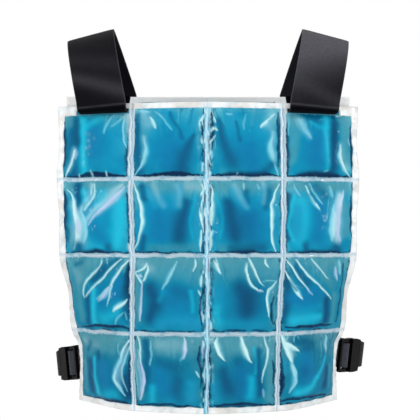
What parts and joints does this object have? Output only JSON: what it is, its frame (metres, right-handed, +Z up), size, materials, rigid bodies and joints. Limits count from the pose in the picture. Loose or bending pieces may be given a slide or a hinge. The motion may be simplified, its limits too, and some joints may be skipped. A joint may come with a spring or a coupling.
{
  "type": "cooling vest",
  "caption": "Torso cooling vest: a front and a back panel of clear film with square gel cells, held by shoulder straps and buckled side straps.",
  "frame": {"origin": "midway between the two shoulders, level with the undersides of the shoulder straps' crests, above the middle of the panels' top edges", "axes": "+Z up as worn, -Y out of the front panel, +X to the right of someone who looks at the front"},
  "size_m": [0.391, 0.256, 0.4742],
  "materials": {
    "film": "clear, glossy, soft",
    "gel": "blue gel under glossy clear film",
    "shoulder_strap": "smooth black loop fabric",
    "webbing": "woven black webbing",
    "buckle": "satin black moulded plastic"
  },
  "bodies": {
    "root": {"front_panel_film": "film", "back_panel_film": "film", "front_cell_1_1": "gel", "front_cell_1_2": "gel", "front_cell_1_3": "gel", "front_cell_1_4": "gel", "front_cell_2_1": "gel", "front_cell_2_2": "gel", "front_cell_2_3": "gel", "front_cell_2_4": "gel", "front_cell_3_1": "gel", "front_cell_3_2": "gel", "front_cell_3_3": "gel", "front_cell_3_4": "gel", "front_cell_4_1": "gel", "front_cell_4_2": "gel", "front_cell_4_3": "gel", "front_cell_4_4": "gel", "back_cell_1_1": "gel", "back_cell_1_2": "gel", "back_cell_1_3": "gel", "back_cell_1_4": "gel", "back_cell_2_1": "gel", "back_cell_2_2": "gel", "back_cell_2_3": "gel", "back_cell_2_4": "gel", "back_cell_3_1": "gel", "back_cell_3_2": "gel", "back_cell_3_3": "gel", "back_cell_3_4": "gel", "back_cell_4_1": "gel", "back_cell_4_2": "gel", "back_cell_4_3": "gel", "back_cell_4_4": "gel", "shoulder_strap_left": "shoulder_strap", "side_strap_front_left": "webbing", "side_strap_back_left": "webbing", "buckle_plug_left": "buckle", "buckle_socket_left": "buckle", "shoulder_strap_right": "shoulder_strap", "side_strap_front_right": "webbing", "side_strap_back_right": "webbing", "buckle_plug_right": "buckle", "buckle_socket_right": "buckle"}
  },
  "joints": []
}
